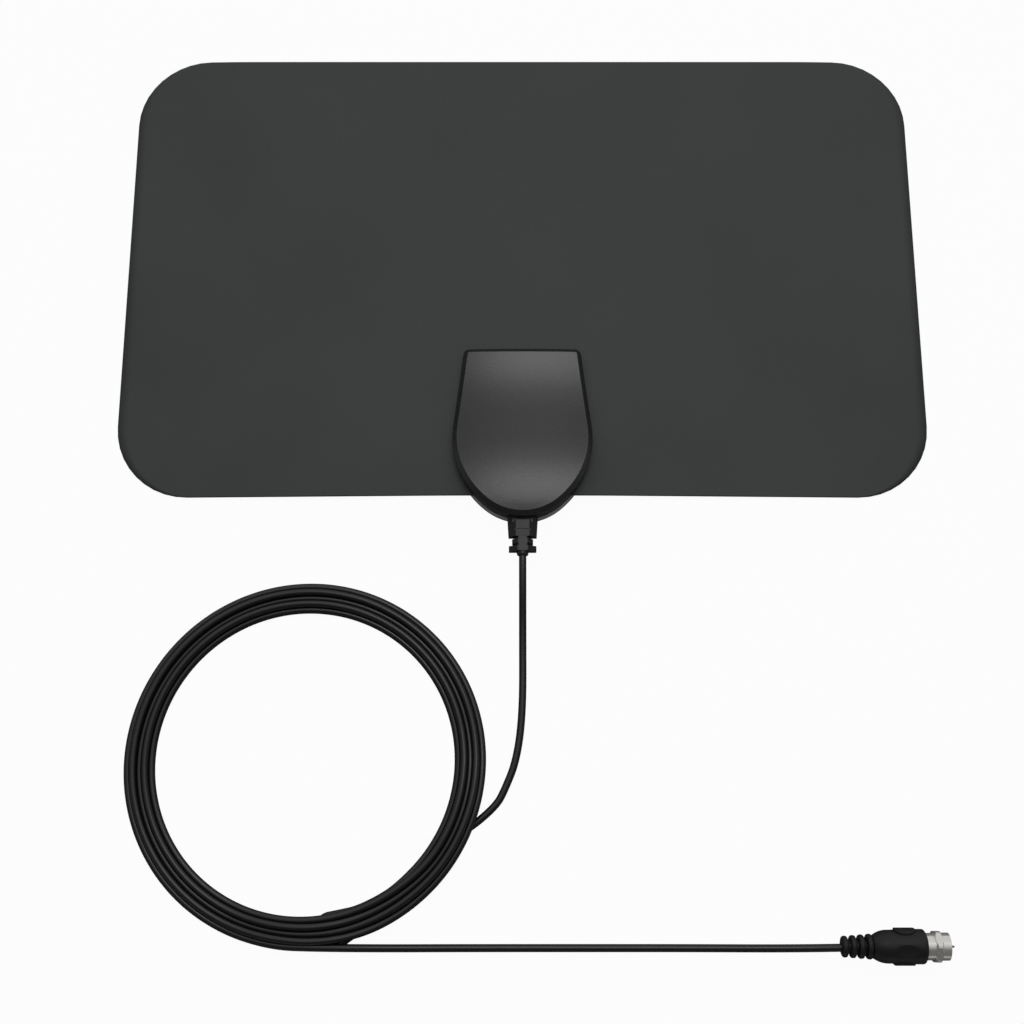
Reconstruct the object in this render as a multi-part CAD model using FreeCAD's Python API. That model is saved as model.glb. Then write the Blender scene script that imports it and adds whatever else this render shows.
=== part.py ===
import FreeCAD, Part
import math
import os

os.makedirs("parts", exist_ok=True)

# Flat indoor antenna lying on a table: a laminated sheet clamped in a moulded
# housing, with a thin coaxial lead that is coiled up and ends in a screw-on plug.
# Frame: origin at the middle of the sheet's lower edge, on the table; +X to the
# right, +Y towards the sheet's upper edge, +Z up. Lengths in mm, angles in degrees.

# Driving dimensions of the laminated sheet
sheet_width = 330.0
sheet_height = 196.0
sheet_corner_radius = 30.0
sheet_flat_lower_width = 62.0
sheet_flat_upper_width = 250.0
sheet_sag = 4.1
film_thickness = 0.3
foil_thickness = 0.05
foil_margin = 9.0
foil_corner_radius = 22.0
foil_feed_radius = 1.0
foil_gap = 9.0
foil_feed_width = 13.0
foil_wing_start = 42.0
foil_hole_margin = 1.2

# Driving dimensions of the two-part housing
housing_top_y = 61.2
housing_bottom_y = -10.2
housing_width = 56.3
housing_side_radius = 36.5
housing_end_rise = 3.0
housing_flare_angle = 7.0
housing_corner_radius = 2.6
cover_wall = 1.8
inner_corner_radius = 1.0
rear_depth = 4.2
rear_floor = 1.5
rear_edge_round = 0.6
rear_ledge = 0.3
rear_ledge_round = 0.2
sheet_edge_gap = 0.25
pry_slot_angle = 42.4
pry_slot_length = 4.6
pry_slot_depth = 0.9
pry_slot_bottom = 1.2
pry_slot_height = 2.8
face_top_height = 5.6
face_dip_height = 5.0
face_dome_height = 8.9
face_lip_height = 7.9
face_dip_y = 45.0
face_dome_y = 5.0
face_crown = 1.3
face_bevel = 1.8

# Driving dimensions of the cover screws and their bosses
screw_upper_x = 16.5
screw_upper_y = 52.0
screw_lower_x = 19.0
screw_lower_y = 12.0
screw_diameter = 2.2
screw_clearance = 0.15
screw_head_diameter = 4.2
screw_head_height = 1.3
screw_head_recess = 0.4
screw_bite = 3.2
screw_drive_width = 0.6
screw_drive_length = 2.4
screw_drive_depth = 0.6
boss_wall = 1.7

# Driving dimensions of the matching board and what is on it
contact_x = 9.0
contact_y = 21.0
post_height = 0.5
post_diameter = 4.0
post_shank_diameter = 2.0
post_head_diameter = 5.0
post_head_height = 0.6
post_stud_diameter = 1.6
post_rivet_diameter = 2.8
post_rivet_height = 0.4
post_clearance = 0.05
board_width = 27.0
board_length = 28.0
board_lower_y = 2.0
board_thickness = 0.8
board_corner_radius = 1.5
balun_width = 7.0
balun_length = 5.0
balun_height = 3.0
balun_y = 18.0
balun_hole_diameter = 1.5
balun_hole_spacing = 3.4
winding_wire = 0.4
winding_turns = 3
winding_pitch = 0.43
winding_overhang = 0.7
capacitor_length = 2.0
capacitor_width = 1.25
capacitor_height = 0.9
capacitor_x = 6.0
capacitor_y = 8.0

# Driving dimensions of the strain relief on the lead
relief_collar_width = 12.2
relief_collar_end_width = 11.2
relief_collar_top_width = 5.6
relief_collar_height = 5.6
relief_collar_end_height = 5.2
relief_collar_length = 7.5
relief_notch_length = 0.9
relief_notch_depth = 0.7
relief_groove_y = -14.9
relief_groove_width = 0.5
relief_groove_depth = 0.3
relief_slot = 0.9
relief_rib_width = 8.3
relief_rib_length = 1.9
relief_flange_width = 10.9
relief_flange_length = 2.1
relief_spine_width = 4.2
relief_spine_height = 5.0
relief_nose_diameter = 4.6
relief_nose_length = 1.8
relief_nose_round = 0.8
relief_round = 0.7
relief_neck_width = 8.0
relief_neck_height = 4.4
relief_neck_clearance = 0.1
relief_anchor_width = 10.4
relief_anchor_height = 5.2
relief_anchor_length = 1.5

# Driving dimensions of the lead and its coil
cord_diameter = 2.9
dielectric_diameter = 1.7
wire_diameter = 0.5
jacket_inside = 4.0
dielectric_bare = 2.5
wire_bare = 6.0
bend_share = 0.45
lead_straight = 10.0
coil_centre_x = -83.5
coil_centre_y = -104.8
coil_outer_radius = 69.4
coil_strands = 5
coil_strand_pitch = 2.3
tail_start = 6.0

# Driving dimensions of the plug
boot_rear_x = 116.8
boot_length = 30.7
boot_rib_section = 11.4
boot_rib_count = 4
boot_rib_first = 1.2
boot_rib_pitch = 3.0
boot_rib_width = 2.1
boot_rib_diameter = 7.7
boot_rib_growth = 0.47
boot_rib_round = 0.85
boot_core_diameter = 4.7
boot_shoulder_diameter = 8.2
boot_taper_length = 4.8
boot_flare_middle = 2.0
boot_flare_diameter = 10.5
boot_waist_diameter = 11.9
boot_diameter = 12.5
boot_front_round = 1.0
pad_start = 19.0
pad_length = 8.3
pad_width = 6.8
pad_diameter = 13.5
pad_end_flat = 0.1
dish_middle = 22.8
dish_length = 8.6
dish_depth = 0.55
plug_roll = 15.0
nut_roll = 0.0
body_tail_length = 13.0
body_tail_diameter = 6.4
body_neck_diameter = 7.2
body_flange_diameter = 8.3
body_flange_length = 1.0
nut_gap = 0.3
nut_length = 8.4
nut_lip_length = 2.2
nut_lip_clearance = 0.05
nut_end_play = 0.3
nut_thread_bore = 8.8
nut_rear_diameter = 9.7
nut_rear_length = 2.7
nut_hex_across_flats = 11.0
nut_hex_corner_diameter = 12.1
nut_hex_length = 2.6
nut_hex_chamfer = 0.55
nut_front_diameter = 9.9
nut_mouth_chamfer = 0.3
insulator_diameter = 4.2
insulator_length = 12.0
pin_diameter = 0.9
pin_length = 17.0
pin_stand_out = 2.4
pin_point_length = 0.7

# Heights and places that follow from the sizes above: the housing is widest at the level of its
# side arcs' centres, and its round lower end stands in from those arcs' own lowest points
housing_widest_y = housing_bottom_y + housing_side_radius - housing_end_rise
sheet_bottom = rear_depth
foil_bottom = sheet_bottom + film_thickness - foil_thickness
film_joint = sheet_bottom + film_thickness
sheet_top = sheet_bottom + 2 * film_thickness
board_bottom = sheet_top + post_height
board_top = board_bottom + board_thickness
lead_z = board_top + wire_diameter / 2
cord_radius = cord_diameter / 2
tail_y = coil_centre_y - coil_outer_radius + cord_radius
plug_z = boot_diameter / 2
prism_reach = face_dome_height + face_crown + 4 * cover_wall
screw_places = [
    (side * x, y)
    for x, y in ((screw_upper_x, screw_upper_y), (screw_lower_x, screw_lower_y))
    for side in (-1, 1)
]
contact_places = [(side * contact_x, contact_y) for side in (-1, 1)]


def point(x, y, z=0.0):
    return FreeCAD.Vector(x, y, z)


def line(start, end):
    return Part.LineSegment(start, end).toShape()


def arc(start, middle, end):
    return Part.Arc(start, middle, end).toShape()


def prism(wire, height):
    return Part.Face(wire).extrude(point(0, 0, height))


def upright(radius, height, x, y, z):
    return Part.makeCylinder(radius, height, point(x, y, z), point(0, 0, 1))


def along_lead(radius, length, y):
    """A round bar on the lead's axis, from y towards the sheet's upper edge."""
    return Part.makeCylinder(radius, length, point(0, y, lead_z), point(0, 1, 0))


def rounded_corner(before, here, after, reach):
    """Ends and middle of the tangent arc that starts at reach from a corner, and its radius."""
    back = before - here
    ahead = after - here
    turn = math.pi - back.getAngle(ahead)
    radius = reach / math.tan(turn / 2)
    back.normalize()
    ahead.normalize()
    inward = (back + ahead).normalize()
    middle = here + inward * (radius / math.cos(turn / 2) - radius)
    return here + back * reach, middle, here + ahead * reach, radius


def rounded_polygon(corners, radii, z):
    """Closed wire through the corners, each rounded by its own tangent arc."""
    count = len(corners)
    ends = []
    for index, corner in enumerate(corners):
        here = point(corner[0], corner[1], z)
        before = point(*corners[index - 1], z)
        after = point(*corners[(index + 1) % count], z)
        back = (before - here).normalize()
        ahead = (after - here).normalize()
        half = back.getAngle(ahead) / 2
        reach = radii[index] / math.tan(half)
        inward = (back + ahead).normalize()
        centre = here + inward * (radii[index] / math.sin(half))
        ends.append((here + back * reach, centre - inward * radii[index], here + ahead * reach))
    edges = []
    for index, (start, middle, end) in enumerate(ends):
        edges.append(arc(start, middle, end))
        edges.append(line(end, ends[(index + 1) % count][0]))
    return Part.Wire(edges)


def rounded_rectangle(width, height, radius, x, y, z):
    corners = [
        (x - width / 2, y - height / 2),
        (x + width / 2, y - height / 2),
        (x + width / 2, y + height / 2),
        (x - width / 2, y + height / 2),
    ]
    return rounded_polygon(corners, [radius] * len(corners), z)


def across_lead(wire, y):
    """Stands a flat wire square to the lead's axis, at y."""
    wire.rotate(point(0, 0, 0), point(1, 0, 0), 90)
    wire.translate(point(0, y, lead_z))
    return wire


def housing_outline(inset, corner_radius, z):
    """The housing's outline: straight top, flared sides and a round lower end."""
    flare = math.radians(housing_flare_angle)
    half_width = housing_width / 2
    offset = housing_side_radius - half_width
    join = math.pi / 2 - 2 * math.atan(housing_end_rise / offset)
    shift = offset / math.cos(join)
    side = housing_side_radius - inset
    lower = housing_side_radius - shift - inset
    lower_y = housing_widest_y - shift * math.sin(join)
    top_y = housing_top_y - inset

    def on_side(angle):
        return point(side * math.cos(angle) - offset, housing_widest_y + side * math.sin(angle), z)

    tangent = on_side(flare)
    corner = point(tangent.x - (top_y - tangent.y) * math.tan(flare), top_y, z)
    reach = corner_radius * math.tan((math.pi / 2 - flare) / 2)
    side_end = corner + point(math.sin(flare), -math.cos(flare)) * reach
    top_end = corner - point(reach, 0)
    centre = top_end - point(0, corner_radius)
    bend = centre + (corner - centre).normalize() * corner_radius
    joint = on_side(-join)

    def mirrored(place):
        return point(-place.x, place.y, place.z)

    right = [
        arc(joint, on_side((flare - join) / 2), tangent),
        line(tangent, side_end),
        arc(side_end, bend, top_end),
    ]
    left = [
        arc(mirrored(top_end), mirrored(bend), mirrored(side_end)),
        line(mirrored(side_end), mirrored(tangent)),
        arc(mirrored(tangent), mirrored(on_side((flare - join) / 2)), mirrored(joint)),
    ]
    bottom = arc(mirrored(joint), point(0, lower_y - lower, z), joint)
    return Part.Wire(right + [line(top_end, mirrored(top_end))] + left + [bottom])


def under_face(drop):
    """Everything below the housing's sculpted face, lowered by drop."""
    ramp_y = (face_dip_y + face_dome_y) / 2
    ramp_height = (face_dip_height + face_dome_height) / 2
    stations = [
        (housing_bottom_y - 2 * cover_wall, face_lip_height),
        (face_dome_y, face_dome_height),
        (ramp_y, ramp_height),
        (face_dip_y, face_dip_height),
        (housing_top_y + 2 * cover_wall, face_top_height),
    ]
    reach = housing_width / 2 + 2 * cover_wall
    base = sheet_top - cover_wall
    sections = []
    for y, height in stations:
        crest = sheet_top + height - drop
        edge = crest - face_crown
        sections.append(Part.Wire([
            line(point(-reach, y, base), point(reach, y, base)),
            line(point(reach, y, base), point(reach, y, edge)),
            arc(point(reach, y, edge), point(0, y, crest), point(-reach, y, edge)),
            line(point(-reach, y, edge), point(-reach, y, base)),
        ]))
    return Part.makeLoft(sections, True, False)


def export(shape, name):
    shape.exportStep("parts/" + name + ".step")


# The laminated sheet: foil wings sunk in the back film and covered by the front film. It is flat
# where the housing clamps it, and its two sides sag to the table at the lower corners.
def sagging_plate(z, thickness, outline):
    """A layer of the sheet within an outline, z high where it is flat."""
    half = sheet_width / 2
    folds = {0: sheet_flat_lower_width / 2, sheet_height: sheet_flat_upper_width / 2}
    slope = sheet_sag / (half - folds[0])

    def place(x, y):
        return point(x, y, z - slope * max(abs(x) - folds[y], 0))

    lower = [place(x, 0) for x in (-half, -folds[0], folds[0], half)]
    upper = [place(x, sheet_height) for x in (-half, -folds[sheet_height], folds[sheet_height], half)]
    strips = []
    for index in range(len(lower) - 1):
        corners = lower[index:index + 2] + upper[index:index + 2][::-1]
        strips.append(Part.Face(Part.makePolygon(corners + corners[:1])).extrude(point(0, 0, thickness)))
    plate = strips[0].fuse(strips[1:])
    return plate.common(prism(outline, 4 * sheet_bottom))


def sheet_layer(z, thickness):
    outline = rounded_rectangle(
        sheet_width, sheet_height, sheet_corner_radius, 0, sheet_height / 2, -sheet_bottom)
    layer = sagging_plate(z, thickness, outline)
    for x, y in screw_places:
        layer = layer.cut(upright(screw_diameter / 2 + screw_clearance, thickness, x, y, z))
    for x, y in contact_places:
        layer = layer.cut(upright(post_shank_diameter / 2 + post_clearance, thickness, x, y, z))
    return layer


def foil_wing(side, thickness):
    """One wing of the flat dipole, from its narrow feed out to the sheet's end."""
    inner = foil_gap / 2
    outer = sheet_width / 2 - foil_margin
    low = foil_margin
    high = sheet_height - foil_margin
    corners = [
        (inner, contact_y - foil_feed_width / 2),
        (foil_wing_start, low),
        (outer, low),
        (outer, high),
        (foil_wing_start, high),
        (inner, contact_y + foil_feed_width / 2),
    ]
    radii = [foil_feed_radius] + [foil_corner_radius] * 4 + [foil_feed_radius]
    if side < 0:
        corners = [(-x, y) for x, y in reversed(corners)]
        radii = list(reversed(radii))
    wing = sagging_plate(foil_bottom, thickness, rounded_polygon(corners, radii, -sheet_bottom))
    hole_radius = screw_diameter / 2 + screw_clearance + foil_hole_margin
    for x, y in screw_places:
        wing = wing.cut(upright(hole_radius, thickness, x, y, foil_bottom))
    for x, y in contact_places:
        wing = wing.cut(upright(
            post_shank_diameter / 2 + post_clearance, thickness, x, y, foil_bottom))
    return wing


back_film = sheet_layer(sheet_bottom, film_thickness)
for side, name in ((-1, "left_element"), (1, "right_element")):
    back_film = back_film.cut(foil_wing(side, film_thickness))
    export(foil_wing(side, foil_thickness), name)
export(back_film, "back_film")
export(sheet_layer(film_joint, film_thickness), "front_film")


# The front cover: a thin moulded shell with a dished and domed face and four screw bosses
boss_radius = screw_diameter / 2 + boss_wall
cover_body = prism(housing_outline(0, housing_corner_radius, sheet_top), prism_reach)
cover_body = cover_body.common(under_face(0))
face_edges = [
    edge for edge in cover_body.Edges
    if all(vertex.Z > sheet_top + cover_wall for vertex in edge.Vertexes)
]
cover_body = cover_body.makeChamfer(face_bevel, face_edges)
cavity = prism(housing_outline(cover_wall, inner_corner_radius, sheet_top), prism_reach)
front_cover = cover_body.cut(cavity.common(under_face(cover_wall)))
for x, y in screw_places:
    boss = upright(boss_radius, prism_reach, x, y, sheet_top)
    boss = boss.common(under_face(cover_wall / 2)).common(cover_body)
    front_cover = front_cover.fuse(boss)
    front_cover = front_cover.cut(upright(screw_diameter / 2, screw_bite, x, y, sheet_top))
neck_hole = Part.makeBox(
    relief_neck_width + 2 * relief_neck_clearance,
    3 * cover_wall,
    lead_z + relief_neck_height / 2 + relief_neck_clearance - sheet_top,
    point(-relief_neck_width / 2 - relief_neck_clearance, housing_bottom_y - cover_wall, sheet_top),
)
front_cover = front_cover.cut(neck_hole).removeSplitter()
export(front_cover, "front_cover")


# The rear cover: a shallow tray, a little wider than the front cover that stands on it below the
# sheet's edge
def pry_slot():
    """Slot in the lower right edge for the blade that parts the covers."""
    slot = Part.makeBox(
        2 * pry_slot_depth, pry_slot_length, pry_slot_height,
        point(-pry_slot_depth, -pry_slot_length / 2, pry_slot_bottom))
    slot.rotate(point(0, 0, 0), point(0, 0, 1), -pry_slot_angle)
    turn = math.radians(pry_slot_angle)
    wall_radius = housing_side_radius + rear_ledge
    slot.translate(point(
        housing_width / 2 - housing_side_radius + wall_radius * math.cos(turn),
        housing_widest_y - wall_radius * math.sin(turn)))
    return slot


def rear_tray():
    tray = prism(housing_outline(-rear_ledge, housing_corner_radius + rear_ledge, 0), sheet_top)
    for z, radius in ((0, rear_edge_round), (sheet_top, rear_ledge_round)):
        rim = [
            edge for edge in tray.Edges
            if all(abs(vertex.Z - z) < radius / 2 for vertex in edge.Vertexes)
        ]
        tray = tray.makeFillet(radius, rim)
    reach = housing_width
    above_sheet = Part.makeBox(
        2 * reach, housing_top_y + reach, 2 * film_thickness,
        point(-reach, -sheet_edge_gap, rear_depth))
    tray = tray.cut(above_sheet)
    inside = prism(housing_outline(cover_wall, inner_corner_radius, rear_floor), sheet_top)
    return tray.cut(inside).cut(pry_slot())


rear_cover = rear_tray()
head_depth = screw_head_recess + screw_head_height
head_radius = screw_head_diameter / 2 + screw_clearance
rear_boss_radius = head_radius + boss_wall
for x, y in screw_places:
    boss = upright(rear_boss_radius, rear_depth - rear_edge_round, x, y, rear_edge_round)
    boss = boss.common(prism(housing_outline(0, housing_corner_radius, 0), rear_depth))
    rear_cover = rear_cover.fuse(boss)
for x, y in screw_places:
    rear_cover = rear_cover.cut(upright(head_radius, head_depth, x, y, 0))
    rear_cover = rear_cover.cut(upright(screw_diameter / 2 + screw_clearance, rear_depth, x, y, 0))
rear_cover = rear_cover.removeSplitter()
export(rear_cover, "rear_cover")


# The cover screws, driven from behind into the front cover's bosses
def cover_screw(x, y):
    tip = sheet_top + screw_bite
    screw = upright(screw_head_diameter / 2, screw_head_height, x, y, screw_head_recess)
    screw = screw.fuse(upright(screw_diameter / 2, tip - head_depth, x, y, head_depth))
    for turn in (0, 90):
        slot = Part.makeBox(
            screw_drive_length, screw_drive_width, screw_drive_depth,
            point(x - screw_drive_length / 2, y - screw_drive_width / 2, screw_head_recess))
        slot.rotate(point(x, y, 0), point(0, 0, 1), turn)
        screw = screw.cut(slot)
    return screw


export(Part.makeCompound([cover_screw(x, y) for x, y in screw_places]), "cover_screws")


# The contact posts: riveted through the sheet and its foil, they carry the board
def contact_post(x, y):
    stages = [
        (post_head_diameter, sheet_bottom - post_head_height, sheet_bottom),
        (post_shank_diameter, sheet_bottom, sheet_top),
        (post_diameter, sheet_top, board_bottom),
        (post_stud_diameter, board_bottom, board_top),
        (post_rivet_diameter, board_top, board_top + post_rivet_height),
    ]
    solid = None
    for diameter, low, high in stages:
        stage = upright(diameter / 2, high - low, x, y, low)
        solid = stage if solid is None else solid.fuse(stage)
    return solid


export(Part.makeCompound([contact_post(x, y) for x, y in contact_places]), "contact_posts")


# The matching board with its balun transformer and chip capacitors
circuit_board = prism(
    rounded_rectangle(
        board_width, board_length, board_corner_radius,
        0, board_lower_y + board_length / 2, board_bottom),
    board_thickness)
for x, y in contact_places:
    circuit_board = circuit_board.cut(
        upright(post_stud_diameter / 2 + post_clearance, board_thickness, x, y, board_bottom))
export(circuit_board, "circuit_board")

balun_hole_z = board_top + balun_height / 2
balun_core = Part.makeBox(
    balun_width, balun_length, balun_height,
    point(-balun_width / 2, balun_y - balun_length / 2, board_top))
for side in (-1, 1):
    balun_core = balun_core.cut(Part.makeCylinder(
        balun_hole_diameter / 2, balun_length,
        point(side * balun_hole_spacing / 2, balun_y - balun_length / 2, balun_hole_z),
        point(0, 1, 0)))
export(balun_core, "balun_core")


def winding_turn(z):
    """One closed turn of wire through both holes of the core."""
    loop = rounded_rectangle(
        balun_hole_spacing, balun_length + 2 * winding_overhang, winding_overhang, 0, balun_y, z)
    start = point(balun_hole_spacing / 2, balun_y, z)
    section = Part.Wire(Part.makeCircle(winding_wire / 2, start, point(0, 1, 0)))
    edges = Part.sortEdges(loop.Edges)[0]
    lead_in = [index for index, edge in enumerate(edges) if abs(edge.CenterOfMass.x - start.x) < 1e-6][0]
    run = edges[lead_in]
    section.translate(run.Vertexes[0].Point - start)
    ring = Part.Wire(edges[lead_in:] + edges[:lead_in])
    return ring.makePipeShell([section], True, False)


turn_heights = [
    balun_hole_z + (index - (winding_turns - 1) / 2) * winding_pitch for index in range(winding_turns)
]
export(Part.makeCompound([winding_turn(z) for z in turn_heights]), "balun_winding")

capacitors = [
    Part.makeBox(
        capacitor_length, capacitor_width, capacitor_height,
        point(side * capacitor_x - capacitor_length / 2, capacitor_y - capacitor_width / 2, board_top))
    for side in (-1, 1)
]
export(Part.makeCompound(capacitors), "chip_capacitors")


# The strain relief: an anchored collar, then a slotted tail on a central spine
collar_end = housing_bottom_y - relief_collar_length
rib_start = collar_end - relief_slot
rib_end = rib_start - relief_rib_length
flange_start = rib_end - relief_slot
flange_end = flange_start - relief_flange_length
nose_end = flange_end - relief_nose_length
collar_start = housing_bottom_y + cover_wall / 2


def shouldered(width, height, top_width):
    """Outline with a flat top and shoulders that slope down to its full width."""
    corners = [
        (-width / 2, -height / 2),
        (width / 2, -height / 2),
        (width / 2, 0),
        (top_width / 2, height / 2),
        (-top_width / 2, height / 2),
        (-width / 2, 0),
    ]
    return rounded_polygon(corners, [relief_round] * len(corners), 0)


def block_across(wire, low_y, high_y):
    return Part.Face(across_lead(wire, low_y)).extrude(point(0, high_y - low_y, 0))


collar = Part.makeLoft([
    across_lead(
        shouldered(relief_collar_width, relief_collar_height, relief_collar_top_width), collar_start),
    across_lead(
        shouldered(relief_collar_end_width, relief_collar_end_height, relief_collar_top_width), collar_end),
], True, True)
cuts_across = [
    (housing_bottom_y - relief_notch_length, 2 * relief_notch_length, relief_notch_depth),
    (relief_groove_y - relief_groove_width / 2, relief_groove_width, relief_groove_depth),
]
for low_y, length, depth in cuts_across:
    collar = collar.cut(Part.makeBox(
        relief_collar_width, length, relief_collar_height,
        point(-relief_collar_width / 2, low_y, lead_z + relief_collar_end_height / 2 - depth)))
rib = block_across(
    shouldered(relief_rib_width, relief_spine_height, relief_spine_width), rib_end, rib_start)
flange = block_across(
    shouldered(relief_flange_width, relief_spine_height, relief_spine_width), flange_end, flange_start)
spine = block_across(
    rounded_rectangle(relief_spine_width, relief_spine_height, relief_round, 0, 0, 0),
    flange_end, collar_end + relief_round)
nose = along_lead(relief_nose_diameter / 2, collar_start - nose_end, nose_end)
nose_rim = [edge for edge in nose.Edges if abs(edge.CenterOfMass.y - nose_end) < relief_nose_round / 2]
nose = nose.makeFillet(relief_nose_round, nose_rim)
strain_relief = collar.fuse([rib, flange, spine, nose])
housing_space = prism(housing_outline(0, housing_corner_radius, -prism_reach), 3 * prism_reach)
strain_relief = strain_relief.cut(housing_space).cut(rear_cover)
anchor_y = housing_bottom_y + cover_wall + relief_neck_clearance
neck = Part.makeBox(
    relief_neck_width, anchor_y - housing_bottom_y + cover_wall, lead_z + relief_neck_height / 2 - sheet_top,
    point(-relief_neck_width / 2, housing_bottom_y - cover_wall, sheet_top))
anchor = Part.makeBox(
    relief_anchor_width, relief_anchor_length, relief_anchor_height,
    point(-relief_anchor_width / 2, anchor_y, lead_z - relief_anchor_height / 2))
anchor_room = prism(housing_outline(cover_wall, inner_corner_radius, -prism_reach), 3 * prism_reach)
strain_relief = strain_relief.fuse([neck, anchor.common(anchor_room)])
strain_relief = strain_relief.cut(along_lead(cord_radius, anchor_y + prism_reach - nose_end, nose_end))
strain_relief = strain_relief.removeSplitter()
export(strain_relief, "strain_relief")


# The lead's end inside the housing: its jacket, then its stripped core on the board
jacket_end = anchor_y + relief_anchor_length + jacket_inside
inner_lead = along_lead(cord_radius, jacket_end - nose_end, nose_end)
core_start = jacket_end - dielectric_bare
inner_lead = inner_lead.cut(along_lead(dielectric_diameter / 2, jacket_end - core_start, core_start))
export(inner_lead, "inner_lead")
lead_core = along_lead(dielectric_diameter / 2, 2 * dielectric_bare, core_start)
lead_core = lead_core.fuse(along_lead(
    wire_diameter / 2, wire_bare + dielectric_bare, core_start + dielectric_bare))
export(lead_core, "lead_core")


# The lead outside: a tube to the coil, the coil's outer shape, and a tube to the plug.
# Every other strand of the coil lies in the groove between two strands below it.
def tube(route, name):
    """Tube of the lead's diameter on straight runs joined by the largest tangent arcs."""
    places = [point(*place) for place in route]
    radii = []
    edges = []
    last = places[0]
    for before, here, after in zip(places, places[1:], places[2:]):
        reach = bend_share * min((before - here).Length, (after - here).Length)
        start, middle, end, radius = rounded_corner(before, here, after, reach)
        edges.append(line(last, start))
        edges.append(arc(start, middle, end))
        radii.append(round(radius, 1))
        last = end
    edges.append(line(last, places[-1]))
    path = Part.Wire(edges)
    heading = places[1] - places[0]
    section = Part.Wire(Part.makeCircle(cord_radius, places[0], heading))
    solid = path.makePipeShell([section], True, False)
    solid = Part.Solid(solid) if solid.ShapeType == "Shell" else solid
    expected = math.pi * cord_radius ** 2 * path.Length
    print(name, "length", round(path.Length, 1), "arc radii", radii,
          "volume over section times length", round(solid.Volume / expected, 4))
    return solid


coil_width = (coil_strands - 1) * coil_strand_pitch + cord_diameter
coil_height = cord_diameter + math.sqrt(cord_diameter ** 2 - coil_strand_pitch ** 2)
coil_section = rounded_rectangle(
    coil_width, coil_height, cord_radius, coil_outer_radius - coil_width / 2, coil_height / 2, 0)
coil_section.rotate(point(0, 0, 0), point(1, 0, 0), 90)
cord_coil = Part.Face(coil_section).revolve(point(0, 0, 0), point(0, 0, 1), 360)
cord_coil.translate(point(coil_centre_x, coil_centre_y, 0))
export(cord_coil, "cord_coil")

lead_route = [
    (0.0, nose_end, lead_z),
    (0.0, nose_end - lead_straight, lead_z),
    (0.0, -56.0, cord_radius),
    (0.0, -86.0, cord_radius),
    (-2.4, -104.5, cord_radius),
    (-7.0, -115.8, cord_radius),
    (-18.5, -127.0, cord_radius),
]
export(tube(lead_route, "cord_lead").cut(cord_coil), "cord_lead")

tail_route = [
    (coil_centre_x + tail_start, tail_y, cord_radius),
    (60.0, tail_y, cord_radius),
    (101.0, tail_y, plug_z),
    (boot_rear_x, tail_y, plug_z),
]
export(tube(tail_route, "cord_tail").cut(cord_coil), "cord_tail")


# The plug, turned about its own axis: each profile is drawn from the boot's rear end
def turned(profile):
    """Solid of revolution about the plug's axis from (distance, radius) corners."""
    corners = [point(x, 0, radius) for x, radius in profile]
    solid = Part.Face(Part.makePolygon(corners + corners[:1])).revolve(
        point(0, 0, 0), point(1, 0, 0), 360)
    return solid


def on_plug(shape, roll):
    placed = shape.copy()
    placed.rotate(point(0, 0, 0), point(1, 0, 0), roll)
    placed.translate(point(boot_rear_x, tail_y, plug_z))
    return placed


def plug_bar(diameter, start, length):
    return Part.makeCylinder(diameter / 2, length, point(start, 0, 0), point(1, 0, 0))


flange_start_x = boot_length + nut_gap + nut_lip_length + nut_end_play
flange_end_x = flange_start_x + body_flange_length
plug_body = plug_bar(body_tail_diameter, boot_length - body_tail_length, body_tail_length)
plug_body = plug_body.fuse(plug_bar(body_neck_diameter, boot_length, flange_start_x - boot_length))
plug_body = plug_body.fuse(plug_bar(body_flange_diameter, flange_start_x, body_flange_length))
insulator = plug_bar(insulator_diameter, flange_end_x - insulator_length, insulator_length)
plug_body = plug_body.cut(insulator)
pin_end = boot_length + nut_gap + nut_length + pin_stand_out
centre_pin = turned([
    (pin_end - pin_length, 0),
    (pin_end - pin_length, pin_diameter / 2),
    (pin_end - pin_point_length, pin_diameter / 2),
    (pin_end, pin_diameter / 6),
    (pin_end, 0),
])
insulator = insulator.cut(centre_pin)
plug_body = plug_body.cut(centre_pin)


# The boot: rings for bending, a flared shoulder, two grip pads and two oval finger dishes
def boot_ring(index):
    middle = boot_rib_first + index * boot_rib_pitch
    radius = (boot_rib_diameter + index * boot_rib_growth) / 2
    ring = plug_bar(2 * radius, middle - boot_rib_width / 2, boot_rib_width)
    rims = [edge for edge in ring.Edges if edge.Curve.TypeId == "Part::GeomCircle"]
    return ring.makeFillet(boot_rib_round, rims)


taper_end = boot_rib_section + boot_taper_length
flare_profile = Part.Wire([
    line(point(boot_rib_section, 0, 0), point(boot_rib_section, 0, boot_shoulder_diameter / 2)),
    arc(point(boot_rib_section, 0, boot_shoulder_diameter / 2),
        point(boot_rib_section + boot_flare_middle, 0, boot_flare_diameter / 2),
        point(taper_end, 0, boot_waist_diameter / 2)),
    line(point(taper_end, 0, boot_waist_diameter / 2), point(pad_start + pad_length, 0, boot_diameter / 2)),
    line(point(pad_start + pad_length, 0, boot_diameter / 2),
         point(boot_length - boot_front_round, 0, boot_diameter / 2)),
    arc(point(boot_length - boot_front_round, 0, boot_diameter / 2),
        point(boot_length - boot_front_round * (1 - math.sqrt(0.5)), 0,
              boot_diameter / 2 - boot_front_round * (1 - math.sqrt(0.5))),
        point(boot_length, 0, boot_diameter / 2 - boot_front_round)),
    line(point(boot_length, 0, boot_diameter / 2 - boot_front_round), point(boot_length, 0, 0)),
    line(point(boot_length, 0, 0), point(boot_rib_section, 0, 0)),
])
plug_boot = Part.Face(flare_profile).revolve(point(0, 0, 0), point(1, 0, 0), 360)
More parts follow.
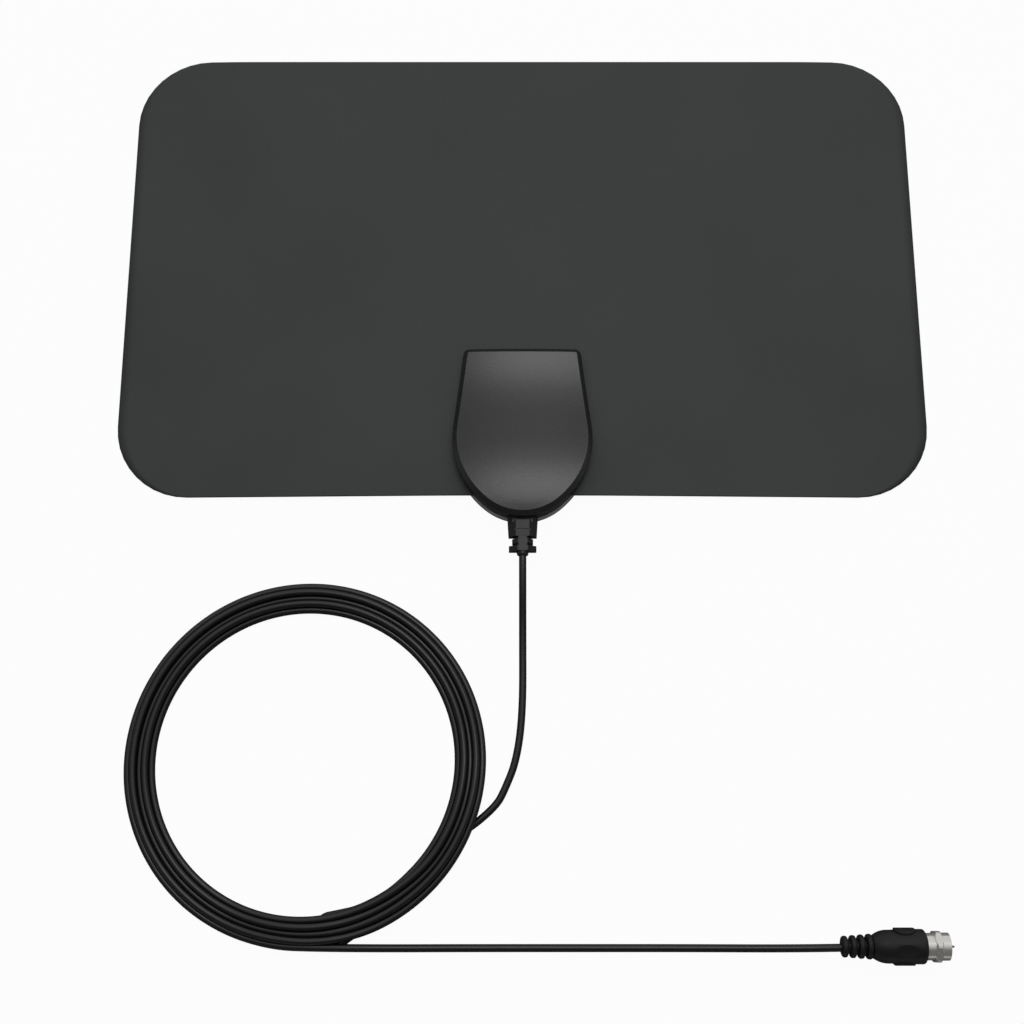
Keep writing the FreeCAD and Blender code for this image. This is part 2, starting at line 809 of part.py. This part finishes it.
plug_boot = plug_boot.fuse([plug_bar(boot_core_diameter, 0, boot_length)])
plug_boot = plug_boot.fuse([boot_ring(index) for index in range(boot_rib_count)])
pad_blank = plug_bar(pad_diameter, pad_start, pad_length)
pad_rims = [edge for edge in pad_blank.Edges if edge.Curve.TypeId == "Part::GeomCircle"]
pad_blank = pad_blank.makeFillet((pad_diameter - boot_waist_diameter) / 2, pad_rims)
pad_outline = rounded_rectangle(
    pad_length, pad_width, (pad_width - pad_end_flat) / 2, pad_start + pad_length / 2, 0, 0)
pad_bar = prism(pad_outline, boot_diameter)
for side in (-1, 1):
    pad = pad_bar.copy()
    pad.rotate(point(0, 0, 0), point(1, 0, 0), side * 90)
    plug_boot = plug_boot.fuse(pad.common(pad_blank))
dish_radius = (dish_length ** 2 / 4 + dish_depth ** 2) / (2 * dish_depth)
dish_lift = dish_radius + (boot_diameter + boot_waist_diameter) / 4 - dish_depth
for side in (-1, 1):
    plug_boot = plug_boot.cut(Part.makeSphere(dish_radius, point(dish_middle, 0, side * dish_lift)))
plug_boot = plug_boot.cut(plug_body).cut(insulator).cut(centre_pin).removeSplitter()


# The coupling nut: round at both ends, a hexagon between, held by the body's flange
def hexagon(start, length):
    corner = nut_hex_across_flats / math.sqrt(3)
    corners = [
        point(start, corner * math.sin(math.radians(60 * step)), corner * math.cos(math.radians(60 * step)))
        for step in range(6)
    ]
    bar = Part.Face(Part.makePolygon(corners + corners[:1])).extrude(point(length, 0, 0))
    rim = nut_hex_corner_diameter / 2
    chamfered = turned([
        (start, 0),
        (start, nut_hex_across_flats / 2),
        (start + nut_hex_chamfer, rim),
        (start + length - nut_hex_chamfer, rim),
        (start + length, nut_hex_across_flats / 2),
        (start + length, 0),
    ])
    return bar.common(chamfered)


nut_start = boot_length + nut_gap
nut_end = nut_start + nut_length
coupling_nut = plug_bar(nut_rear_diameter, nut_start, nut_rear_length)
coupling_nut = coupling_nut.fuse(hexagon(nut_start + nut_rear_length, nut_hex_length))
front_start = nut_start + nut_rear_length + nut_hex_length
coupling_nut = coupling_nut.fuse(plug_bar(nut_front_diameter, front_start, nut_end - front_start))
coupling_nut = coupling_nut.cut(plug_bar(
    body_neck_diameter + 2 * nut_lip_clearance, nut_start, nut_lip_length))
coupling_nut = coupling_nut.cut(plug_bar(
    nut_thread_bore, nut_start + nut_lip_length, nut_length - nut_lip_length))
mouth_radius = nut_thread_bore / 2 + nut_mouth_chamfer
coupling_nut = coupling_nut.cut(turned([
    (nut_end - nut_mouth_chamfer, 0),
    (nut_end - nut_mouth_chamfer, nut_thread_bore / 2),
    (nut_end, mouth_radius),
    (nut_end, 0),
])).removeSplitter()

export(on_plug(plug_boot, plug_roll), "plug_boot")
export(on_plug(plug_body, plug_roll), "plug_body")
export(on_plug(insulator, plug_roll), "plug_insulator")
export(on_plug(centre_pin, plug_roll), "centre_pin")
export(on_plug(coupling_nut, nut_roll), "coupling_nut")
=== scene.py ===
import math

import bmesh
import bpy
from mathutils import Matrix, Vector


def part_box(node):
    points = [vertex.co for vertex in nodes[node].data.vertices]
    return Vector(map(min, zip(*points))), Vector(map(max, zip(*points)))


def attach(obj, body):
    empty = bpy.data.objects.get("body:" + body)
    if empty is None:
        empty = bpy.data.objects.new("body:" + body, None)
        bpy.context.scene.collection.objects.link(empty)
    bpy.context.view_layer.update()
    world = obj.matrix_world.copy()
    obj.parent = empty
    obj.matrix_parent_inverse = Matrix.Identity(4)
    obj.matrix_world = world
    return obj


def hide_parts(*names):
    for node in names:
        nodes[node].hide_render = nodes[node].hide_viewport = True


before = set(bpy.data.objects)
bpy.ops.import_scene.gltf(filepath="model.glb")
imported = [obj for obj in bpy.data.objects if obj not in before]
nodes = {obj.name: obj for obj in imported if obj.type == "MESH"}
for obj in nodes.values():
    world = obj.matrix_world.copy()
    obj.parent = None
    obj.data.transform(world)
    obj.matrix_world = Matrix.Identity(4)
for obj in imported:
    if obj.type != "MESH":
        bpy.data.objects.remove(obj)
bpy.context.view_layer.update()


# Laminated sheet: two matt vinyl films pressed together over the aerial's foil, cut with round
# corners. The housing clamps it 4 mm above the table, and it sags to its lower corners.
MM = 0.001
sheet_corner_radius = 30 * MM
sheet_flat_lower = 31 * MM
sheet_flat_upper = 125 * MM
sheet_side_drop = 4.1
sheet_side_width = 134
sheet_slope = sheet_side_drop / sheet_side_width
sheet_bend_softness = 6 * MM
sheet_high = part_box("front_film")[1]
film_thickness = 0.3 * MM
foil_thickness = 0.05 * MM
clamp_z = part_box("rear_cover")[1].z - 2 * film_thickness


def sheet_drop(x, y):
    """How far the sheet hangs below its clamped middle, with a soft bend where a side starts."""
    flat = sheet_flat_lower + (sheet_flat_upper - sheet_flat_lower) * y / sheet_high.y
    over = abs(x) - flat
    return sheet_slope * (over + math.hypot(over, sheet_bend_softness)) / 2


def linear(hex_colour):
    """An sRGB hex colour as linear RGBA."""
    channels = [int(hex_colour[i:i + 2], 16) / 255 for i in (1, 3, 5)]
    return [c / 12.92 if c <= 0.04045 else ((c + 0.055) / 1.055) ** 2.4 for c in channels] + [1.0]


def add_node(tree, kind, settings=None, inputs=None, links=None):
    """One node with its settings, its unlinked values and the outputs that feed it."""
    node = tree.nodes.new(kind)
    for name, value in (settings or {}).items():
        setattr(node, name, value)
    for socket, value in (inputs or {}).items():
        node.inputs[socket].default_value = value
    for socket, source in (links or {}).items():
        tree.links.new(source, node.inputs[socket])
    return node


def grained_finish(name, dark, light, grain, depth, gloss, ior=1.5, metallic=0.0, stretch=(1, 1, 1)):
    """A finish whose grain, so many mm wide and deep, varies its colour, gloss and relief.

    The gloss is a pair of roughness values, for the grain's hollows and its heights."""
    finish = bpy.data.materials.new(name)
    finish.use_nodes = True
    tree = finish.node_tree
    shader = tree.nodes["Principled BSDF"]
    shader.inputs["IOR"].default_value = ior
    shader.inputs["Metallic"].default_value = metallic
    place = add_node(tree, "ShaderNodeTexCoord")
    spread = add_node(tree, "ShaderNodeMapping", inputs={"Scale": stretch},
                      links={"Vector": place.outputs["Object"]})
    noise = add_node(tree, "ShaderNodeTexNoise", {"name": "grain"},
                     {"Scale": 1 / (grain * MM), "Detail": 3.0}, {"Vector": spread.outputs["Vector"]})
    tint = add_node(tree, "ShaderNodeMix", {"name": "tint", "data_type": "RGBA"},
                    {6: linear(dark), 7: linear(light)}, {0: noise.outputs["Fac"]})
    tree.links.new(tint.outputs[2], shader.inputs["Base Color"])
    polish = add_node(tree, "ShaderNodeMapRange", inputs={"To Min": gloss[0], "To Max": gloss[1]},
                      links={"Value": noise.outputs["Fac"]})
    tree.links.new(polish.outputs["Result"], shader.inputs["Roughness"])
    bump = add_node(tree, "ShaderNodeBump", {"name": "relief"},
                    {"Strength": 0.3, "Distance": depth * MM}, {"Height": noise.outputs["Fac"]})
    tree.links.new(bump.outputs["Normal"], shader.inputs["Normal"])
    return finish


def add_piece(name, mesh, finish, body="antenna"):
    """A finished mesh as a piece of the object that rides on a body."""
    piece = bpy.data.objects.new(name, mesh)
    bpy.context.scene.collection.objects.link(piece)
    mesh.materials.clear()
    mesh.materials.append(finish)
    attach(piece, body)
    return piece


def dress(node, finish):
    """Gives a CAD node that keeps its own shape its finish."""
    for slot in nodes[node].material_slots:
        slot.material = finish


def matt_vinyl_film():
    """Calendered vinyl with a fine matt grain: dull, even, with faint cloudy patches."""
    finish = grained_finish("matt_vinyl_film", "#393b3b", "#434545", 0.45, 0.02, (0.66, 0.56), ior=1.42)
    tree = finish.node_tree
    cloud_size = 70 * MM
    place = add_node(tree, "ShaderNodeTexCoord")
    cloud = add_node(tree, "ShaderNodeTexNoise", inputs={"Scale": 1 / cloud_size, "Detail": 4.0},
                     links={"Vector": place.outputs["Object"]})
    shade = add_node(tree, "ShaderNodeMapRange",
                     inputs={"From Min": 0.35, "From Max": 0.65, "To Min": 0.93, "To Max": 1.07},
                     links={"Value": cloud.outputs["Fac"]})
    tint = tree.nodes["tint"]
    toned = add_node(tree, "ShaderNodeVectorMath", {"operation": "SCALE"},
                     links={0: tint.outputs[2], "Scale": shade.outputs["Result"]})
    tree.links.new(toned.outputs[0], tree.nodes["Principled BSDF"].inputs["Base Color"])
    return finish


def film_mesh(name, base_z):
    """One film's back as rows of quads, each row as wide as the round corners leave it."""
    corner_steps = 10
    straight_steps = 30
    columns = 84
    rows = []
    for step in range(corner_steps):
        turn = math.pi / 2 * step / corner_steps
        y = sheet_corner_radius * (1 - math.cos(turn))
        rows.append((y, sheet_corner_radius * (1 - math.sin(turn))))
    for step in range(straight_steps + 1):
        share = step / straight_steps
        rows.append((sheet_corner_radius + share * (sheet_high.y - 2 * sheet_corner_radius), 0.0))
    rows += [(sheet_high.y - y, inset) for y, inset in reversed(rows[:corner_steps])]
    shell = bmesh.new()
    grid = []
    for y, inset in rows:
        half = sheet_high.x - inset
        places = [half * (2 * column / columns - 1) for column in range(columns + 1)]
        grid.append([shell.verts.new((x, y, base_z - sheet_drop(x, y))) for x in places])
    for lower, upper in zip(grid, grid[1:]):
        for column in range(columns):
            shell.faces.new((lower[column], lower[column + 1], upper[column + 1], upper[column]))
    mesh = bpy.data.meshes.new(name)
    shell.to_mesh(mesh)
    shell.free()
    mesh.shade_smooth()
    return mesh


vinyl_film = matt_vinyl_film()
films = {
    "back_film": (clamp_z, film_thickness - foil_thickness),
    "front_film": (clamp_z + film_thickness, film_thickness),
}
for node, (base_z, thickness) in films.items():
    film = add_piece(node + "_sheet", film_mesh(node + "_sheet", base_z), vinyl_film)
    thickener = film.modifiers.new("thickness", "SOLIDIFY")
    thickener.thickness = thickness
    thickener.offset = 1.0
    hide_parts(node)

# Foil wings of the aerial: rolled aluminium, dull, with the rolls' fine lines along the sheet.
rolled_foil = grained_finish("rolled_aluminium_foil", "#b9bbbd", "#cfd0d2", 0.4, 0.004, (0.42, 0.3),
                             metallic=1.0, stretch=(0.05, 1, 1))
for node in ("left_element", "right_element"):
    dress(node, rolled_foil)


# Matching board: glass laminate under green solder mask, on two tinned brass posts riveted to the
# foil. It carries the balun, a ferrite core wound with enamelled copper, and two chip capacitors.
dress("contact_posts", grained_finish("tinned_brass", "#a99f86", "#c4bba2", 0.3, 0.005, (0.36, 0.24),
                                      metallic=1.0))
dress("circuit_board", grained_finish("solder_mask_laminate", "#0f4a26", "#15602f", 0.6, 0.01, (0.34, 0.26),
                                      ior=1.52, stretch=(1, 0.15, 1)))
dress("balun_core", grained_finish("sintered_ferrite", "#2b2b2c", "#39393a", 0.15, 0.03, (0.72, 0.6),
                                   ior=1.8))
dress("balun_winding", grained_finish("enamelled_copper", "#8a3c1c", "#a5512a", 0.5, 0.004, (0.3, 0.2),
                                      metallic=1.0))
dress("chip_capacitors", grained_finish("fired_ceramic", "#8d7253", "#a3875f", 0.2, 0.01, (0.55, 0.4),
                                        ior=1.7))


# Covers: two satin ABS mouldings, screwed together from behind on both sides of the sheet. The
# front one has the sculpted face, and its mould's fine spark texture breaks the light a little.
def satin_abs(name, dark, light):
    """Moulded ABS with a fine spark texture: soft broad reflections and a few specks of dust."""
    finish = grained_finish(name, dark, light, 0.3, 0.012, (0.3, 0.24), ior=1.5)
    tree = finish.node_tree
    place = add_node(tree, "ShaderNodeTexCoord")
    speck_spacing = 3.4 * MM
    speck_edge, speck_core, speck_strength = 0.07, 0.03, 0.5
    dust_colour = linear("#6a6c6c")
    speck = add_node(tree, "ShaderNodeTexVoronoi", inputs={"Scale": 1 / speck_spacing},
                     links={"Vector": place.outputs["Object"]})
    near = add_node(tree, "ShaderNodeMapRange",
                    inputs={"From Min": speck_edge, "From Max": speck_core, "To Max": speck_strength},
                    links={"Value": speck.outputs["Distance"]})
    dusty = add_node(tree, "ShaderNodeMix", {"data_type": "RGBA"}, {7: dust_colour},
                     {0: near.outputs["Result"], 6: tree.nodes["tint"].outputs[2]})
    tree.links.new(dusty.outputs[2], tree.nodes["Principled BSDF"].inputs["Base Color"])
    return finish


def smooth_piece(node, name, finish, body="antenna"):
    """A piece from a node's mesh, merged so that its curved faces are smooth and its edges sharp."""
    merge_distance = 0.0005 * MM
    sharp_angle = math.radians(28)
    mesh = nodes[node].data.copy()
    mesh.attributes.remove(mesh.attributes["custom_normal"])
    shell = bmesh.new()
    shell.from_mesh(mesh)
    bmesh.ops.remove_doubles(shell, verts=shell.verts, dist=merge_distance)
    shell.to_mesh(mesh)
    shell.free()
    mesh.shade_smooth()
    mesh.set_sharp_from_angle(angle=sharp_angle)
    piece = add_piece(name, mesh, finish, body)
    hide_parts(node)
    return piece


black_abs = satin_abs("satin_black_abs", "#121313", "#181919")
# The rear cover's light grey is a painted highlight: it gives the rim below the sheet the bright band that
# reflected light shows there.
grey_abs_painted_highlight = satin_abs("satin_grey_abs_painted_highlight", "#a0a2a2", "#acaeae")
smooth_piece("rear_cover", "rear_cover_moulding", grey_abs_painted_highlight)
smooth_piece("front_cover", "front_cover_moulding", black_abs)
dress("cover_screws", grained_finish("zinc_plated_steel", "#8d9094", "#a9acb0", 0.25, 0.006, (0.38, 0.26),
                                     metallic=1.0))


# Strain relief: black vinyl moulded on the lead, gripped by the covers at its inner end. Slots
# across its tail let it bend with the lead. Its skin is satin, with tiny pits.
relief_vinyl = grained_finish("satin_moulded_vinyl", "#131313", "#1a1a1a", 0.5, 0.02, (0.42, 0.34),
                              ior=1.46)
relief = smooth_piece("strain_relief", "strain_relief_moulding", relief_vinyl)
relief_facets = relief.modifiers.new("flat_facets", "WEIGHTED_NORMAL")
relief_facets.weight = 100
relief_facets.keep_sharp = True


# Lead: thin coaxial cable in a black vinyl jacket. It leaves the strain relief, drops to the
# table, turns back below the ring, is wound in its five strands and runs straight on to the plug.
# Its places are in mm, and strands that lie on each other press together a little.
cord_diameter = 2.9
cord_radius = cord_diameter / 2
pressed_diameter = 2.8
coil_centre = (-83.5, -104.8)
coil_outer_radius = 69.4
coil_strands = 5
strand_pitch = 2.3
points_per_turn = 24
hump_height = 3.0
relief_z = 6.35
plug_z = 6.25
over_z = cord_radius + hump_height
tail_y = coil_centre[1] - coil_outer_radius + cord_radius
tail_run_y = tail_y - 0.7
lead_points = [
    (0.0, -25.3, relief_z),
    (0.0, -35.3, relief_z),
    (0.0, -56.0, cord_radius),
    (0.0, -86.0, cord_radius),
    (-2.4, -104.5, cord_radius),
    (-7.0, -115.8, cord_radius),
    (-10.0, -121.4, cord_radius),
]
tail_points = [
    (-77.5, tail_y - 0.5, over_z),
    (-53.0, tail_run_y, over_z),
    (-22.0, tail_run_y, cord_radius),
    (19.0, tail_run_y, cord_radius),
    (60.0, tail_run_y, cord_radius),
    (101.0, tail_run_y, plug_z),
    (116.8, tail_y - 0.4, plug_z),
]


def ease(share):
    """A share from 0 to 1 that starts and ends softly."""
    share = min(max(share, 0.0), 1.0)
    return share * share * (3 - 2 * share)


def ring_point(radius, angle, z):
    """A place on the ring, by its distance from the ring's middle and its angle in degrees."""
    turn = math.radians(angle)
    return coil_centre[0] + radius * math.cos(turn), coil_centre[1] + radius * math.sin(turn), z


def table_point(start, direction, distance):
    """The place on the table that lies a distance from another, in a direction in degrees."""
    turn = math.radians(direction)
    return start[0] + distance * math.cos(turn), start[1] + distance * math.sin(turn), cord_radius


def turn_back_points():
    """The lead's run below the strands and its turn there, a little over half a circle.

    The turn's points are the corners of a polygon round it, which the smooth curve touches."""
    turn_radius, turn_corners = 5.7, 7
    turn_from, turn_to = -55.0, -259.0
    entry_places = ((69.2, -20.4), (65.0, -25.0), (63.6, -36.0))
    leaving_places = ((58.9, -69.0), (59.0, -61.0))
    straight_before = (22.0, 14.0, 8.0, 4.0, 1.6)
    straight_after = (1.6, 5.0)
    middle = ring_point(63.8, -79.0, cord_radius)
    start = table_point(middle, turn_from, turn_radius)
    end = table_point(middle, turn_to, turn_radius)
    step = (turn_to - turn_from) / turn_corners
    corner_reach = turn_radius / math.cos(math.radians(step / 2))
    points = [ring_point(radius, angle, cord_radius) for radius, angle in entry_places]
    points += [table_point(start, turn_from + 90.0, distance) for distance in straight_before]
    for index in range(turn_corners):
        points.append(table_point(middle, turn_from + step * (index + 0.5), corner_reach))
    points += [table_point(end, turn_to - 90.0, distance) for distance in straight_after]
    return points + [ring_point(radius, angle, cord_radius) for radius, angle in leaving_places]


def coil_points():
    """The ring's turns, inside to outside. Every other strand lies up in its neighbours' groove.

    Where the tail leaves, they spread to lie side by side, and each moves out by one place. From
    there to the right they pass in a low hump over the lead, which turns back under them. Angles
    are in degrees from the right, and the first strand starts flat on the table."""
    spread_start, gather_start, move_span = 267.0, -60.0, 20.0
    turn_end = 292.0
    hump_middle, hump_half, hump_ramp = 307.5, 62.5, 28.0
    flat_until = 180.0
    nearest = 270.0
    step = 360.0 / points_per_turn
    first = -step * 3.5
    last = nearest - step / 2 + 360.0 * (coil_strands - 1)
    middle_radius = coil_outer_radius - cord_radius - strand_pitch * (coil_strands - 1) / 2
    outward = 1 / math.cos(math.pi / points_per_turn)
    points = []
    for index in range(round((last - first) / step) + 1):
        angle = first + step * index
        turn = math.ceil(max(angle - turn_end, 0.0) / 360.0)
        local = angle - 360.0 * turn
        spread = ease((local - spread_start) / move_span)
        ungathered = 1 - ease((local - gather_start) / move_span) if turn else 0.0
        pitch = strand_pitch + (pressed_diameter - strand_pitch) * (spread + ungathered)
        place = turn - (coil_strands - 1) / 2 + (spread - ungathered) / 2
        rise = turn % 2 * math.sqrt(max(pressed_diameter ** 2 - pitch ** 2, 0.0))
        away = abs((angle - hump_middle + 180.0) % 360.0 - 180.0)
        hump = hump_height * ease((hump_half - away) / hump_ramp) if angle > flat_until else 0.0
        radius = (middle_radius + place * pitch) * outward
        points.append(ring_point(radius, angle, cord_radius + rise + hump))
    return points


# Extruded vinyl: black, smooth and fairly glossy, with a slight waviness along its length.
vinyl_jacket = grained_finish("vinyl_jacket", "#0b0b0b", "#121212", 1.6, 0.02, (0.34, 0.26), ior=1.52)
route = lead_points + turn_back_points() + coil_points() + tail_points
lead_curve = bpy.data.curves.new("coaxial_lead", "CURVE")
lead_curve.dimensions = "3D"
lead_curve.bevel_depth = cord_radius * MM
lead_curve.bevel_resolution = 5
lead_curve.resolution_u = 8
lead_curve.use_fill_caps = True
spline = lead_curve.splines.new("NURBS")
spline.points.add(len(route) - 1)
for control, place in zip(spline.points, route):
    control.co = (place[0] * MM, place[1] * MM, place[2] * MM, 1.0)
spline.order_u = 3
spline.use_endpoint_u = True
lead_curve.materials.append(vinyl_jacket)
lead = bpy.data.objects.new("coaxial_lead", lead_curve)
bpy.context.scene.collection.objects.link(lead)
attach(lead, "antenna")
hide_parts("cord_lead", "cord_coil", "cord_tail")

# Inside the housing the lead's jacket ends, and its white polyethylene core goes on to the board.
white_polyethylene = grained_finish("white_polyethylene", "#dcdcd6", "#e8e8e3", 0.8, 0.01, (0.5, 0.42),
                                    ior=1.51)
dress("inner_lead", vinyl_jacket)
dress("lead_core", white_polyethylene)


# Plug boot: soft vinyl moulded over the lead and the plug's tail, with rings that bend, two
# raised grip pads and two oval dishes for the fingers. Its skin is dull.
boot_vinyl = grained_finish("dull_moulded_vinyl", "#0c0c0c", "#131313", 0.5, 0.02, (0.58, 0.48), ior=1.42)
boot = smooth_piece("plug_boot", "plug_boot_moulding", boot_vinyl)


# Coupling nut and plug body: turned brass with bright nickel plate. The nut spins on the body's
# flange, has a hexagon for a spanner and a fine thread in its bore.
nut_low, nut_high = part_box("coupling_nut")
nut_axis_y = (nut_low.y + nut_high.y) / 2
nut_axis_z = (nut_low.z + nut_high.z) / 2
thread_pitch = 25.4 / 32 * MM
thread_turns = 7
thread_radius = 4.4 * MM
thread_ridge = 0.2 * MM
thread_start = nut_high.x - 0.5 * MM


def bright_nickel():
    """Nickel plate on turned brass: warm white metal with faint turning rings round its axis."""
    finish = grained_finish("bright_nickel", "#dedcd7", "#e8e6e1", 2.5, 0.004, (0.3, 0.22), metallic=0.82)
    tree = finish.node_tree
    place = add_node(tree, "ShaderNodeTexCoord")
    ring_spacing = 0.25 * MM
    rings = add_node(tree, "ShaderNodeTexWave", {"bands_direction": "X"},
                     {"Scale": math.pi / (10 * ring_spacing), "Distortion": 0.6, "Detail": 1.0},
                     {"Vector": place.outputs["Object"]})
    tree.links.new(rings.outputs["Fac"], tree.nodes["relief"].inputs["Height"])
    return finish


def thread_tree(finish):
    """Nodes for a screw thread's ridge: a spiral with a small round section."""
    tree = bpy.data.node_groups.new("nut_thread", "GeometryNodeTree")
    for name in ("Turns", "Radius", "Length", "Ridge"):
        tree.interface.new_socket(name=name, in_out="INPUT", socket_type="NodeSocketFloat")
    tree.interface.new_socket(name="Start", in_out="INPUT", socket_type="NodeSocketVector")
    tree.interface.new_socket(name="Geometry", in_out="OUTPUT", socket_type="NodeSocketGeometry")
    sizes = add_node(tree, "NodeGroupInput").outputs
    spiral = add_node(tree, "GeometryNodeCurveSpiral", inputs={"Resolution": 48},
                      links={"Rotations": sizes["Turns"], "Start Radius": sizes["Radius"],
                             "End Radius": sizes["Radius"], "Height": sizes["Length"]})
    section = add_node(tree, "GeometryNodeCurvePrimitiveCircle", inputs={"Resolution": 6},
                       links={"Radius": sizes["Ridge"]})
    ridge = add_node(tree, "GeometryNodeCurveToMesh", inputs={"Fill Caps": True},
                     links={"Curve": spiral.outputs[0], "Profile Curve": section.outputs[0]})
    placed = add_node(tree, "GeometryNodeTransform", inputs={"Rotation": (0.0, -math.pi / 2, 0.0)},
                      links={"Geometry": ridge.outputs[0], "Translation": sizes["Start"]})
    solid = add_node(tree, "GeometryNodeRealizeInstances", links={0: placed.outputs[0]})
    dressed = add_node(tree, "GeometryNodeSetMaterial", inputs={"Material": finish},
                       links={0: solid.outputs[0]})
    add_node(tree, "NodeGroupOutput", links={0: dressed.outputs[0]})
    return tree


def thread_mesh(finish):
    """The thread's ridge as a plain mesh in the nut's bore."""
    blank = bpy.data.objects.new("nut_thread_blank", bpy.data.meshes.new("nut_thread_blank"))
    bpy.context.scene.collection.objects.link(blank)
    maker = blank.modifiers.new("thread", "NODES")
    maker.node_group = thread_tree(finish)
    values = {
        "Turns": float(thread_turns),
        "Radius": thread_radius,
        "Length": thread_turns * thread_pitch,
        "Ridge": thread_ridge,
        "Start": (thread_start, nut_axis_y, nut_axis_z),
    }
    for item in maker.node_group.interface.items_tree:
        if item.name in values:
            maker[item.identifier] = values[item.name]
    made = blank.evaluated_get(bpy.context.evaluated_depsgraph_get())
    mesh = bpy.data.meshes.new_from_object(made)
    bpy.data.objects.remove(blank)
    mesh.shade_smooth()
    return mesh


nickel = bright_nickel()
nut = smooth_piece("coupling_nut", "coupling_nut_turned", nickel, body="nut")
thread = add_piece("coupling_nut_thread", thread_mesh(nickel), nickel, body="nut")
plug_body = smooth_piece("plug_body", "plug_body_turned", nickel)
dress("plug_insulator", white_polyethylene)
dress("centre_pin", grained_finish("tinned_copper", "#7d7a74", "#938f88", 0.4, 0.004, (0.42, 0.32),
                                   metallic=1.0))


# Table: a plain white surface. Seen directly it is white, and it keeps the object's soft shadow.
# Mirrored it is white too, but for the part close by, which lies in the object's deep shade; there its
# paint is darkened in mirrors, a painted shade.
def white_table():
    """White paint that glows where it is looked at, so that only shadows tint it. In mirrors its paint is a
    darker grey, a painted shade.
    """
    glow_share = 0.96
    shade_from, shade_to = 0.02, 0.12
    lit_grey, painted_shade_grey = 0.85, 0.2
    finish = bpy.data.materials.new("white_table")
    finish.use_nodes = True
    tree = finish.node_tree
    tree.nodes.clear()
    rays = add_node(tree, "ShaderNodeLightPath")
    far = add_node(tree, "ShaderNodeMapRange", inputs={"From Min": shade_from, "From Max": shade_to},
                   links={"Value": rays.outputs["Ray Length"]})
    mirrored = add_node(tree, "ShaderNodeMath", {"operation": "MULTIPLY"},
                        links={0: rays.outputs["Is Glossy Ray"], 1: far.outputs["Result"]})
    seen = add_node(tree, "ShaderNodeMath", {"operation": "ADD"},
                    links={0: rays.outputs["Is Camera Ray"], 1: mirrored.outputs[0]})
    seen = add_node(tree, "ShaderNodeMath", {"operation": "ADD", "use_clamp": True},
                    links={0: seen.outputs[0], 1: rays.outputs["Is Transmission Ray"]})
    share = add_node(tree, "ShaderNodeMath", {"operation": "MULTIPLY"}, {1: glow_share},
                     {0: seen.outputs[0]})
    # The paint is darker grey for mirrored rays: painted shade for the table close by the object.
    shade = add_node(tree, "ShaderNodeMapRange", inputs={"To Min": lit_grey, "To Max": painted_shade_grey},
                     links={"Value": rays.outputs["Is Glossy Ray"]})
    paint = add_node(tree, "ShaderNodeBsdfDiffuse", links={"Color": shade.outputs["Result"]})
    glow = add_node(tree, "ShaderNodeEmission", inputs={"Color": (1.0, 1.0, 1.0, 1.0), "Strength": 1.0})
    mixed = add_node(tree, "ShaderNodeMixShader",
                     links={0: share.outputs[0], 1: paint.outputs[0], 2: glow.outputs[0]})
    add_node(tree, "ShaderNodeOutputMaterial", links={"Surface": mixed.outputs[0]})
    return finish


table_radius = 20.0
table_mesh = bpy.data.meshes.new("table")
shell = bmesh.new()
bmesh.ops.create_circle(shell, cap_ends=True, segments=96, radius=table_radius)
shell.to_mesh(table_mesh)
shell.free()
table = bpy.data.objects.new("table", table_mesh)
bpy.context.scene.collection.objects.link(table)
table_mesh.materials.append(white_table())


# Studio: a soft panel overhead, a little beyond the object, and a surround that is bright high on
# that side and dim all round the horizon on the other sides.
panel_light = bpy.data.lights.new("overhead_panel", "AREA")
panel_light.shape = "RECTANGLE"
panel_light.size = 0.38
panel_light.size_y = 0.34
panel_light.energy = 1.5
panel = bpy.data.objects.new("overhead_panel", panel_light)
panel.location = (0.07, 0.335, 1.0)
bpy.context.scene.collection.objects.link(panel)

bright_side = (0.0, 0.75, 0.66)
dim_level, bright_level = 0.12, 0.72
world = bpy.data.worlds.new("studio")
bpy.context.scene.world = world
world.use_nodes = True
tree = world.node_tree
tree.nodes.clear()
place = add_node(tree, "ShaderNodeTexCoord")
towards = add_node(tree, "ShaderNodeVectorMath", {"operation": "DOT_PRODUCT"}, {1: bright_side},
                   {0: place.outputs["Generated"]})
level = add_node(tree, "ShaderNodeMapRange", {"interpolation_type": "SMOOTHSTEP"},
                 {"From Min": 0.2, "From Max": 0.85, "To Min": dim_level, "To Max": bright_level},
                 {"Value": towards.outputs["Value"]})
rays = add_node(tree, "ShaderNodeLightPath")
seen = add_node(tree, "ShaderNodeMath", {"operation": "MAXIMUM"},
                links={0: level.outputs["Result"], 1: rays.outputs["Is Camera Ray"]})
sky = add_node(tree, "ShaderNodeBackground", inputs={"Color": (1.0, 1.0, 1.0, 1.0)},
               links={"Strength": seen.outputs[0]})
add_node(tree, "ShaderNodeOutputWorld", links={"Surface": sky.outputs[0]})


# Camera: nearly straight above, 15 degrees off the vertical, with a normal lens.
camera_tilt = math.radians(15)
camera_data = bpy.data.cameras.new("camera")
camera_data.sensor_fit = "HORIZONTAL"
camera_data.sensor_width = 36.0
camera_data.lens = 50.13
camera = bpy.data.objects.new("camera", camera_data)
camera.location = (-0.0042, -0.1541, 0.554)
camera.rotation_euler = (camera_tilt, 0.0, 0.0)
bpy.context.scene.collection.objects.link(camera)
bpy.context.scene.camera = camera
bpy.context.scene.view_settings.view_transform = "Standard"
